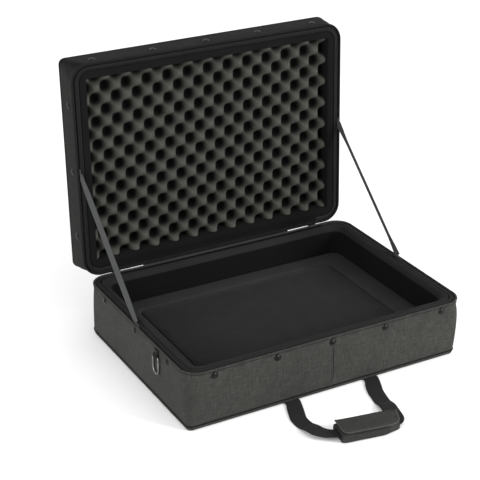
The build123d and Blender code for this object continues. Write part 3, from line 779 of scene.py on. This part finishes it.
def caps(name, node, spots, body=BASE, place=Matrix()):
    """Caps on a cover's walls. spots are (x, y, z, outward x, outward y) in the cover's frame."""
    placed = []
    for x, y, z, nx, ny in spots:
        out = place.to_3x3() @ Vector((nx, ny, 0))
        placed.append((place @ Vector((x, y, z)), out.orthogonal().normalized(), out))
    repeated(name, placed, cap_unit(), "cap", body=body, slot="cap", hides=[node])


def all_caps():
    front_z, back_z, lid_z = BASE_H - 14 * MM, BASE_H - 24 * MM, -29 * MM
    strip_half, strip_t = mm(188, 1.2)  # the hinge fabric, which lies under some of the back's caps
    walls = [(s, y) for s in (-1, 1) for y in CAP_YS]
    back_ys = [HALF_D + (strip_t if abs(x) < strip_half else 0) for x in CAP_XS]
    caps("caps_front", "base_front_caps", [(x, -HALF_D, front_z, 0, -1) for x in CAP_XS])
    caps("caps_sides", "base_side_caps", [(s * HALF_W, y, front_z, s, 0) for s, y in walls])
    caps("caps_back", "base_back_caps", [(x, y, back_z, 0, 1) for x, y in zip(CAP_XS, back_ys)])
    caps("caps_lid_front", "lid_front_caps", [(x, HALF_D, lid_z, 0, 1) for x in CAP_XS], LID, LID_PLACE)
    caps("caps_lid_sides", "lid_side_caps", [(s * HALF_W, y, lid_z, s, 0) for s, y in walls], LID, LID_PLACE)


def strap_rings():
    """Shoulder-strap rings and their webbing tabs on both sides."""
    width, height, corner, wire_r, loop_r = mm(24, 39, 3.4, 2, 3.2)
    path = arc((-width / 2 + corner, -corner), corner, 90, 180, 8)
    path += arc((0.0, width / 2 - height), width / 2, 180, 360, 24)
    path += [(-x, y) for x, y in path[8::-1]]
    for name, side in SIDES:
        bar_x, ring_y, bar_z = joint("ring_%s_hinge" % name)["pos_m"]
        ring = [(bar_x, ring_y + a, bar_z + b) for a, b in path]
        bar("ring_" + name, ring, (1, 0, 0), round_section(wire_r, 16), "steel", closed=True,
            body="ring_" + name, slot="ring_steel", hides=["d_ring_" + name])
        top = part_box("ring_tab_" + name)[1][2]
        wall = side * HALF_W
        loop = [(wall + side * 0.8 * MM, top), (wall + side * 0.8 * MM, bar_z + 6 * MM)]
        loop += [(bar_x + side * x, bar_z + z) for x, z in arc((0, 0), loop_r, 180, 405, 14)]
        loop += [(wall + side * 2.4 * MM, bar_z + 6.5 * MM), (wall + side * 2.4 * MM, top)]
        bar("tab_" + name, [(x, ring_y, z) for x, z in loop], (0, 1, 0), strap_section(16 * MM, 1.5 * MM),
            "dark_strap", slot="webbing_dark", hides=["ring_tab_" + name])
        for number, z in enumerate((top - 2.5 * MM, bar_z + 8 * MM)):
            row = [(wall + side * 3.1 * MM, ring_y + a * 6 * MM, z) for a in (-1, 1)]
            stitches("tab_%s_stitch_%d" % (name, number), row, (side, 0, 0), pitch=3.2 * MM, margin=0.0,
                     slot="webbing_dark")


def handle_anchors():
    """Webbing ends of the carry handle, sewn under the front edge."""
    lo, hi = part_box("handle_anchors")
    z = joint("handle_hinge")["pos_m"][2]
    for name, side in SIDES:
        x = side * (hi[0] - STRAP_W / 2)
        path = [(x, y, z) for y in between(lo[1] + 0.2 * MM, hi[1] - 0.2 * MM, 10)]
        bar("anchor_" + name, path, (1, 0, 0), strap_section(STRAP_W, 2.3 * MM), "strap", slot="webbing_dark",
            hides=["handle_anchors"] if side < 0 else ())


# ---------------- lid
def lid_cover():
    """Nylon over the lid's tray: a darker copy of the base's cloth, as painted shade. Its front panel, facing
    up when the lid is open, is painted darker still as shade.
    """
    low, high = -LID_H + EDGE_R, -PIPING_H
    profile = cover_profile(low, high, LID_CORNERS, 12)
    step, crown = mm(16, 2.2)
    profile += [cover_ring(EDGE_R + k * step, -LID_H - crown * sin(pi / 2 * k / 12), LID_CORNERS, low, high)
                for k in range(1, 13)]

    def shift(x, y, z):
        full = fullness(x, y, z, low, high - 12 * MM, 0.9 * MM, 4.0)
        return full, 0.5 * MM * ripple(x, y, 0.0, 0.13, 2.0) if z < -LID_H + 0.5 * MM else 0.0

    piece = swept("lid_cover", profile, "cover_lid_shaded", cap_end=True, shift=shift, body=LID, slot="cover_nylon",
                  hides=["lid_shell"])
    # Painted shade: the lid's front panel, which faces up when the lid is open, is darkened as shade.
    store(piece, "painted_shade", [smooth((v.co.y - HALF_D + 12 * MM) / (10 * MM)) for v in piece.data.vertices])
    piece.data.transform(LID_PLACE)


def lid_border():
    """Flat lining round the foam, rounded where it drops to the foam."""
    top, gap, soft = mm(-2, 0.4, 5)
    opening = (FOAM_W / 2 + gap, FOAM_D / 2 + gap, 3 * MM)
    rings = [inset(SHELF_IN, -14 * MM), inset(SHELF_IN, -SHELF_DROP), inset(15.4 * MM, -SHELF_DROP)]
    rings += [inset(d, z) for d, z in arc((18.5 * MM, top - 2 * MM), 2 * MM, 180, 90, 4)]
    edge = soft_edge(*opening, top, soft, 6)
    rings += crowned(rings[-1], edge[0][:3], 5, top, 0.5 * MM) + edge + [(*opening, -48 * MM)]
    swept("lid_border_lining", rings, "border", shift=uneven(0.35 * MM, 0.08, 6.0), body=LID, place=LID_PLACE,
          slot="lining_knit", hides=["lid_border"])


def lid_foam():
    """Egg-crate foam: rounded peaks and deep round pits, each row half a pitch out of step."""
    columns, rows, steps = 24, 16, 12                # half-pitches across and up, and steps in each
    peak, relief, back = mm(-10.6, 30, -67)
    nx, ny = columns * steps, rows * steps
    verts, uvs, low = [], [], []
    for j in range(ny + 1):
        for i in range(nx + 1):
            x, y = -FOAM_W / 2 + FOAM_W * (i / nx), -FOAM_D / 2 + FOAM_D * (j / ny)
            col, row = columns * (i / nx), rows * (j / ny)
            share = (1 - cos(pi * col) * cos(pi * row)) / 2
            near = min(hypot(col - m, row - n) for m in (int(col), int(col) + 1)
                       for n in (int(row), int(row) + 1) if (m + n) % 2)
            fall = 0.75 * share ** 1.15 + 0.25 * (1 - smooth(near / 0.9))
            uneven = 0.25 * MM * ripple(x, y, 0.0, 0.03, 1.0) + 0.8 * MM * ripple(x, y, 0.0, 0.2, 9.0)
            verts.append((x, y, peak - relief * fall + uneven))
            uvs.append((x, y))
            low.append(fall)
    top = grid_border(ny + 1, nx + 1)
    foot = range(len(verts), len(verts) + len(top))
    verts += [(*verts[n][:2], back) for n in top]
    uvs += [(verts[n][0], verts[n][1] - 0.05) for n in top]
    low += [0.6] * len(top)
    faces = grid_faces(ny + 1, nx + 1) + flip(joined(top, foot))
    piece = make("egg_foam_sheet", verts, faces, "foam", LID, "egg_foam", ["lid_convoluted_foam"], uvs,
                 LID_PLACE, sharp=70.0)
    # Painted shade: the stored fall darkens the foam's pits, and its sides by a fixed share.
    store(piece, "depth", low)


# ---------------- between base and lid
def stays():
    """Taut webbing from the base's rim to the lid's, sewn at both ends and a little twisted."""
    steps = 60
    for name, turn in (("left", 0.2), ("right", -0.3)):
        lo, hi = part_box("stay_" + name)
        x = (lo[0] + hi[0]) / 2
        low, high = Vector((x, 0.0, lo[2])), LID_PLACE @ Vector((x, 0.0, 2 * MM))
        way = (high - low).normalized()
        across = Vector((1, 0, 0)).cross(way)
        path = [low.lerp(high, k / steps) for k in range(steps + 1)]
        sides = [Matrix.Rotation(turn * smooth(6 * min(k, steps - k) / steps), 3, way) @ across
                 for k in range(steps + 1)]
        piece = bar("stay_strap_" + name, path, sides, strap_section(20 * MM, 1.2 * MM), "stay",
                    slot="webbing_grey", hides=["stay_" + name])
        release(piece)
        tuple(low)
        tuple(high)
        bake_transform(piece)


def stay_tabs():
    """Sewn ends of the stays on both rims."""
    for prefix, body, place, low, high in (("base", BASE, Matrix(), RIM_Z, BASE_H + 1.6 * MM),
                                           ("lid", LID, LID_PLACE, -PIPING_H, 1.6 * MM)):
        across = place.to_3x3() @ Vector((0, 1, 0))
        for name, side in SIDES:
            x = side * (HALF_W - 4.7 * MM)
            path = [place @ Vector((x, 0.0, z)) for z in between(low, high, 6)]
            bar("%s_tab_%s" % (prefix, name), path, across, strap_section(27 * MM, 1.4 * MM), "stay",
                body=body, slot="webbing_grey", hides=[prefix + "_stay_tabs"] if side < 0 else ())


def bridge_path(leaf):
    """Side view of the hinge fabric: up the back of the base, out, and under the open lid."""
    thick, bend_r = mm(1.2, 4)

    def lid_point(u, depth):
        spot = LID_PLACE @ Vector((0.0, u - HALF_D, -depth))
        return (spot.y, spot.z)

    turn_z = lid_point(-1.5 * MM - thick, 0.0)[1] + thick / 2 - bend_r
    middle, foot = HALF_D + thick / 2, BASE_H - leaf
    under = -1.5 * MM - thick / 2 - 0.1 * MM
    path = [(middle, z) for z in between(foot, turn_z, 6)]
    path += [(middle + bend_r - bend_r * cos(a), turn_z + bend_r * sin(a))
             for a in (radians(18 * k) for k in range(1, 6))]
    path += [lid_point(under, 3 * MM), lid_point(under, 5.5 * MM)]
    return path + [lid_point(-thick / 2, depth) for depth in between(9.5 * MM, leaf, 4)]


def hinge_fabric():
    """The cloth hinge and the closed ends of the zip, shaped from the base's back round to the open lid."""
    half_t = 0.55 * MM
    for node, middle, width, leaf, material, slot in (
            ("hinge_strip", *mm(0, 376, 36), "cover", "cover_nylon"),
            ("zip_end_left", *mm(-255, 20, 17), "tape", "zip_tape"),
            ("zip_end_right", *mm(255, 20, 17), "tape", "zip_tape")):
        path = bridge_path(leaf)
        count = max(4, int(width / (12 * MM)))
        ways = directions([(0.0, y, z) for y, z in path])
        verts, uvs = [], []
        for layer in (-1, 1):
            for (y, z), way, run in zip(path, ways, lengths(path)):
                normal = Vector((0, -way.z, way.y))
                for n in range(count + 1):
                    x = middle - width / 2 + width * n / count
                    out = layer * half_t + 0.12 * MM * ripple(x, y, z, 0.02)
                    verts.append(Vector((x, y, z)) + normal * out)
                    uvs.append((x + layer, run))
        sheet, border = grid_faces(len(path), count + 1), grid_border(len(path), count + 1)
        offset = len(path) * (count + 1)
        faces = sheet + flip(tuple(offset + i for i in quad) for quad in sheet)
        faces += joined(border, [offset + n for n in border])
        piece = make("fabric_" + node, verts, faces, material, BASE, slot, [node], uvs)
        release(piece)
        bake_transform(piece)


# ---------------- handle
GRIP_X, GRIP_Y = mm(-12, -409)
GRIP_L, GRIP_W, GRIP_T, GRIP_Z = mm(130, 50, 19.5, 0.5)
GRIP_PLACE = Matrix.Translation((GRIP_X, GRIP_Y, 0)) @ Matrix.Rotation(radians(-9.6), 4, "Z")


def grip_point(x, y, z):
    return GRIP_PLACE @ Vector((x, y, z))


def rounded_path(corners, radii, step):
    """A line with rounded corners, sampled at about an even step."""
    spots = [Vector(c) for c in corners]
    line = [spots[0]]
    for before, spot, after, radius in zip(spots, spots[1:], spots[2:], radii):
        a, b = (before - spot).normalized(), (after - spot).normalized()
        half = a.angle(b) / 2
        reach = radius / tan(half)
        start, end = spot + a * reach, spot + b * reach
        centre = spot + (a + b).normalized() * (radius / sin(half))
        turn = pi - 2 * half
        steps = max(3, int(turn * radius / step))
        first, last = start - centre, end - centre
        axis = first.cross(last).normalized()
        line += [centre + Matrix.Rotation(turn * k / steps, 3, axis) @ first for k in range(steps + 1)]
    line.append(spots[-1])
    return [line[0]] + [p for p, _ in evenly(line, step)] + [line[-1]]


def handle_strap():
    """The webbing loop: flat on the ground at its roots, rising into the grip."""
    _, root, z = joint("handle_hinge")["pos_m"]
    start = root - 0.45 * MM
    into = grip_point(-GRIP_L / 2 - 41 * MM, 0, 0)
    fold = grip_point(GRIP_L / 2 - 8 * MM, 0, 0)
    corners = [(-95 * MM, start, 0), (-95.5 * MM, start - 3 * MM, 0), (-119 * MM, -308 * MM, 0), into, fold,
               (74 * MM, -292 * MM, 0), (94.5 * MM, start - 3 * MM, 0), (95 * MM, start, 0)]
    path = rounded_path(corners, mm(10, 60, 40, 18, 110, 10), 4 * MM)
    rise, high = GRIP_Y + GRIP_W / 2 + 56 * MM, GRIP_Z + GRIP_T / 2
    path = [Vector((p.x, p.y, z + (high - z) * smooth((rise - p.y) / (36 * MM)))) for p in path]
    sides = []
    for spot, way in zip(path, directions(path)):
        square = Vector((-way.y, way.x, 0)).normalized()
        root_side = Vector((1 if square.x > 0 else -1, 0, 0))
        sides.append(root_side.lerp(square, smooth((root - spot.y) / (40 * MM))))

    def section(share):
        """The webbing is pinched where it enters the grip."""
        local = GRIP_PLACE.inverted() @ path[round(share * (len(path) - 1))]
        pinch = max(0.0, 1 - abs(local.x + GRIP_L / 2 + 12 * MM) / (34 * MM)) if local.y < 30 * MM else 0.0
        return strap_section(STRAP_W * (1 - 0.24 * pinch), 2.4 * MM, 1.2 * MM * pinch)

    strap = bar("handle_strap", path, sides, section, "strap", sheared=True, body="handle",
                slot="webbing_dark", hides=["handle_webbing"])
    release(strap)
    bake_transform(strap)


def grip_sleeve():
    """Padded sleeve: a flat-bottomed closed wrap, narrower at its right end."""
    lo_x, hi_x = -GRIP_L / 2 - 8 * MM, GRIP_L / 2 - 12 * MM
    middle_z = GRIP_Z + GRIP_T / 2
    count, around = 40, 44
    verts, uvs = [], []
    for i in range(count + 1):
        share = i / count
        x = lo_x + (hi_x - lo_x) * share
        draw = 1 - 0.10 * max(0.0, 1 - min(share, 1 - share) * count / 3) ** 2
        taper = 1.12 - 0.42 * smooth((x - 10 * MM) / (45 * MM))
        for k in range(around):
            a = 2 * pi * k / around
            power = 0.5 if sin(a) > 0 else 0.25
            cy = abs(cos(a)) ** power * (1 if cos(a) > 0 else -1)
            cz = abs(sin(a)) ** power * (1 if sin(a) > 0 else -1)
            size = draw * (1 + 0.015 * ripple(x, a * 0.01, 0.0, 0.02, 7.0))
            y = cy * GRIP_W / 2 * size * (taper if cy < 0 else min(max(taper, 0.94), 1.0))
            verts.append((x, y, max(middle_z + cz * GRIP_T / 2 * draw, GRIP_Z)))
            uvs.append((x, a * 0.011))
    faces = grid_faces(count + 1, around, False, True)
    for inwards, ring in ((1, 0), (-1, count)):
        outer = range(ring * around, (ring + 1) * around)
        inner = range(len(verts), len(verts) + around)
        for x, y, z in [verts[n] for n in outer]:
            verts.append((x + inwards * 3 * MM, y * 0.74, middle_z + (z - middle_z) * 0.22))
            uvs.append((x, 0.0))
        quads = joined(outer, inner)
        faces += flip(quads) if ring == 0 else quads
    piece = make("grip_sleeve", verts, faces, "grip", "handle", "grip_cover", ["grip_wrap"], uvs, GRIP_PLACE)


def flap_outline(grow=0.0):
    """Outline of the flap in the grip's frame: straight at the hinge, its free corners rounded unevenly."""
    left, right = -69 * MM - grow, 59 * MM + grow
    back, front = 24 * MM + grow, -28 * MM - grow
    wide, tight, slant = mm(26, 12, 5)
    edge = right - slant - wide
    line = [*zip(between(right, right - slant, 6), between(back - slant, front + wide, 6))][:-1]
    line += arc((edge, front + wide), wide, 0, -90, 8)
    line += [(x, front) for x in between(edge, left + tight, 16)[1:-1]]
    line += arc((left + tight, front + tight), tight, -90, -180, 8)
    return line + [(left, y) for y in between(front + tight, back, 6)[1:]]


def grip_flap():
    """Padded flap, its piping and stitching, and the cloth that joins it to the sleeve."""
    lo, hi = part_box("grip_flap")
    low, high = lo[2], hi[2]
    middle_z = (low + high) / 2
    outline = flap_outline()
    rings = [(1.0, low + 0.4 * MM), (1.0, high - 0.9 * MM), (0.985, high - 0.2 * MM), (0.93, high + 0.1 * MM),
             (0.8, high + 0.7 * MM), (0.5, high + 1.1 * MM), (0.2, high + 1.2 * MM)]
    verts = [(x * s, y * s, z) for s, z in rings for x, y in outline]
    piece = make("flap_pad", verts, loft_faces(len(rings), len(outline), True), "grip", "grip_flap",
                 "grip_cover", ["grip_flap"], [v[:2] for v in verts], GRIP_PLACE)
    edge = [grip_point(x, y, middle_z + 0.5 * MM) for x, y in flap_outline(-0.2 * MM)]
    bar("flap_piping", edge, (0, 0, 1), round_section(1.7 * MM, 10), "flap_edge", body="grip_flap",
        slot="grip_cover")
    back, middle, foot = 23.4 * MM, -5 * MM, GRIP_Z + 5 * MM
    rise = [grip_point(middle, back, z) for z in between(foot, middle_z, 14)]
    along = GRIP_PLACE.to_3x3() @ Vector((1, 0, 0))
    spine = bar("flap_spine", rise, along, strap_section(122 * MM, 2.6 * MM), "grip", body="handle",
                slot="grip_cover")
    release(spine)
    tuple(grip_point(middle, back, GRIP_Z + GRIP_T - 1.5 * MM))
    tuple(grip_point(middle, back, low + 0.5 * MM))
    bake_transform(spine)
    row = [grip_point(x * 0.93, y * 0.85, high + 0.35 * MM) for x, y in outline]
    stitches("flap_stitch", row, (0, 0, 1), "grip_flap", pitch=4.0 * MM, slot="grip_cover")


def grip_patches():
    """Hook and loop patches under the flap."""
    length, width, r, middle = mm(92, 28, 3, -6)
    outline = []
    for sx, sy, first in ((1, -1, -90), (1, 1, 0), (-1, 1, 90), (-1, -1, 180)):
        outline += arc((sx * (length / 2 - r), sy * (width / 2 - r)), r, first, first + 90, 4)
    for node, body in (("grip_hook_patch", "handle"), ("grip_loop_patch", "grip_flap")):
        lo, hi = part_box(node)
        rings = [(1.0, lo[2]), (1.0, hi[2] - 0.2 * MM), (0.98, hi[2])]
        verts = [(x * s + middle, y * s, z) for s, z in rings for x, y in outline]
        make(node + "_pile", verts, loft_faces(len(rings), len(outline)), "hook", body, "hook_tape", [node],
             [v[:2] for v in verts], GRIP_PLACE)


# ---------------- board and carried-over nodes
def board():
    """Looped pile on the board, rounded at its edge and a little uneven."""
    lo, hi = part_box("board_loop_face")
    corner, top = 12 * MM, hi[2]
    rings = [(hi[0] - d, hi[1] - d, corner - d, z)
             for d, z in ((0.0, lo[2]), (0.0, top - 1.2 * MM), (0.4 * MM, top - 0.4 * MM), (1.4 * MM, top))]
    rings += [(hi[0] - 1.4 * MM - step, hi[1] - 1.4 * MM - step, max(corner - step, 2 * MM), top)
              for step in (15 * MM * k for k in range(1, 10))]

    def shift(x, y, z):
        return 0.0, 0.15 * MM * ripple(x, y, 0.0, 0.02, 2.0) if z >= top - 0.01 * MM else 0.0

    swept("board_pile", rings, "pile", cap_end=True, shift=shift, body="pedal_board", slot="loop_pile",
          hides=["board_loop_face"])
    give("pedal_board", "board")


def give(node, material):
    """A carried-over CAD node gets its material."""
    mesh = frame["nodes"][node].data
    mesh.materials.clear()
    mesh.materials.append(MAT[material])


def hardware():
    for name, _ in SIDES:
        give("zip_slider_" + name, "slider")
        give("zip_pull_" + name, "slider")


# ---------------- stage
def studio():
    """A white paper floor, a white room and two soft lamps."""
    scene = bpy.context.scene
    size = 12.0
    mesh = bpy.data.meshes.new("floor")
    corners = [(-size, -size, 0), (size, -size, 0), (size, size, 0), (-size, size, 0)]
    mesh.from_pydata(corners, [], [(0, 1, 2, 3)])
    floor_piece = bpy.data.objects.new("floor", mesh)
    scene.collection.objects.link(floor_piece)
    m = Nodes("floor_paper")
    paper = m.mix(m.noise(3.0, 2.0), grey(0.88), grey(0.92))
    mesh.materials.append(m.finish(Base_Color=paper, Roughness=0.9, Specular_IOR_Level=0.1))
    scene.world = bpy.data.worlds.new("studio")
    scene.world.use_nodes = True
    background = scene.world.node_tree.nodes["Background"]
    background.inputs["Color"].default_value = grey(1.0)
    background.inputs["Strength"].default_value = 1.15
    lamp("key", (2.1, -2.7, 1.4), (0.1, -0.1, 0.1), 1.2, 120)
    lamp("fill", (-2.9, -0.9, 1.2), (-0.2, 0.0, 0.1), 1.4, 46)
    scene.view_settings.view_transform = "Standard"


def lamp(name, place, target, size, power):
    """A square soft lamp that faces its target."""
    light = bpy.data.lights.new(name, "AREA")
    light.size, light.energy = size, power
    lamp_piece = bpy.data.objects.new(name, light)
    lamp_piece.location = place
    lamp_piece.rotation_euler = (Vector(target) - Vector(place)).to_track_quat("-Z", "Y").to_euler()
    bpy.context.scene.collection.objects.link(lamp_piece)


def camera():
    """The photograph's view: fitted to the case's straight edges."""
    azimuth, elevation, roll = -28.7836, 25.1912, -0.1911
    focal_px, photo_px, sensor = 1408.04, 480, 36.0
    data = bpy.data.cameras.new("camera")
    data.sensor_width, data.lens = sensor, sensor * focal_px / photo_px
    data.clip_start, data.clip_end = 0.05, 60.0
    view = bpy.data.objects.new("camera", data)
    turn = Matrix.Translation((-1.3656, -2.3380, 1.5161))
    for angle, axis in ((azimuth, "Z"), (90 - elevation, "X"), (roll, "Z")):
        turn = turn @ Matrix.Rotation(radians(angle), 4, axis)
    view.matrix_world = turn
    bpy.context.scene.collection.objects.link(view)
    bpy.context.scene.camera = view


# ---------------- all together
camera()
studio()
base_cover()
base_lining()
floor_pad()
rim_parts("base", BASE, BASE_H)
rim_parts("lid", LID, 0.0, LID_PLACE)
zip_half("base", BASE, BASE_H - SHELF_DROP)
zip_half("lid", LID, -SHELF_DROP, LID_PLACE @ Matrix.Scale(-1, 4, (0, 1, 0)))
bead_z = sum(corner[2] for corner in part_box("base_bottom_piping")) / 2
leaned(wall_bead("bottom_binding", bead_z, BASE_CORNERS, LIP_Z + EDGE_R, RIM_Z, base_wall,
                 hides=["base_bottom_piping"]))
wall_bead("lid_edge_binding", -LID_H + 7 * MM, LID_CORNERS, -LID_H + EDGE_R, -PIPING_H, body=LID,
          place=LID_PLACE, hides=["lid_back_piping"])
sunk(stitches("rim_seam_base", outline_path(-0.35 * MM, BASE_H - 9 * MM), outward, closed=True,
              slot="cover_nylon"))
front_seam()
all_caps()
strap_rings()
handle_anchors()
lid_cover()
lid_border()
lid_foam()
stays()
stay_tabs()
hinge_fabric()
handle_strap()
grip_sleeve()
grip_flap()
grip_patches()
board()
hardware()
